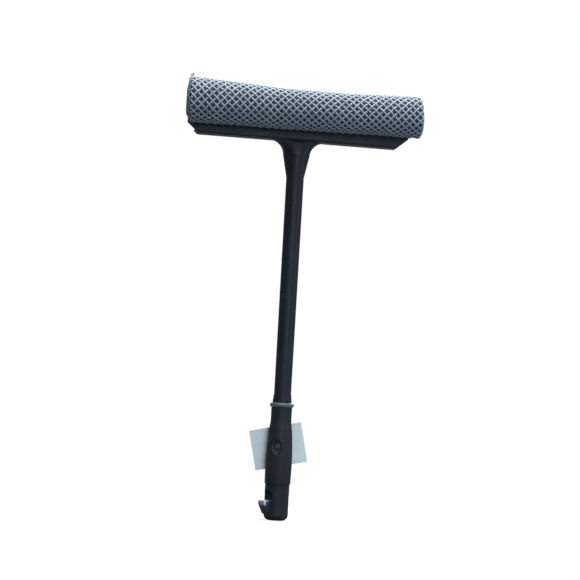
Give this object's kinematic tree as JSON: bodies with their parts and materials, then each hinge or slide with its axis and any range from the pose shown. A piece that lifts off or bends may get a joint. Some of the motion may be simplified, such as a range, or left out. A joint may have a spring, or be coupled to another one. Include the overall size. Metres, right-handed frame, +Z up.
{
  "type": "hand squeegee",
  "caption": "Long-handled hand squeegee: net-covered sponge on the front of a T-shaped head, rubber wiping blade on its back, two-part handle with a push-button catch and a hang hole.",
  "frame": {"origin": "centre of the flat end of the hang cap, at the foot of the handle", "axes": "+Z up the handle to the head, -Y out of the sponge, +Y out of the blade, X along the head"},
  "size_m": [0.203, 0.0645, 0.3661],
  "materials": {
    "black_plastic": "satin",
    "grey_plastic": "satin",
    "sponge_foam": "matte",
    "netting": "matte",
    "blade_rubber": "matte",
    "steel": "satin",
    "label_card": "matte"
  },
  "bodies": {
    "frame": {"head_frame": "black_plastic", "sponge_backing": "black_plastic", "sponge_pad": "sponge_foam", "mesh_cover": "netting", "backing_screw_1": "steel", "backing_screw_2": "steel", "backing_screw_3": "steel", "backing_screw_4": "steel", "collar_ring": "grey_plastic", "grip_shell": "black_plastic", "hang_cap": "black_plastic", "catch_spring": "steel", "blank_label": "label_card"},
    "button": {"lock_button": "black_plastic"},
    "blade": {"rubber_blade": "blade_rubber"}
  },
  "joints": [
    {"name": "button_press", "type": "slide", "parent": "frame", "child": "button", "axis": [0.342, 0.9397, 0], "range_m": [0, 0.0032], "stiffness_N_per_m": 1200, "springref_m": -0.0005, "deforming": ["catch_spring"]},
    {"name": "blade_slide", "type": "slide", "parent": "frame", "child": "blade", "axis": [1, 0, 0], "range_m": [-0.2, 0.2]}
  ]
}
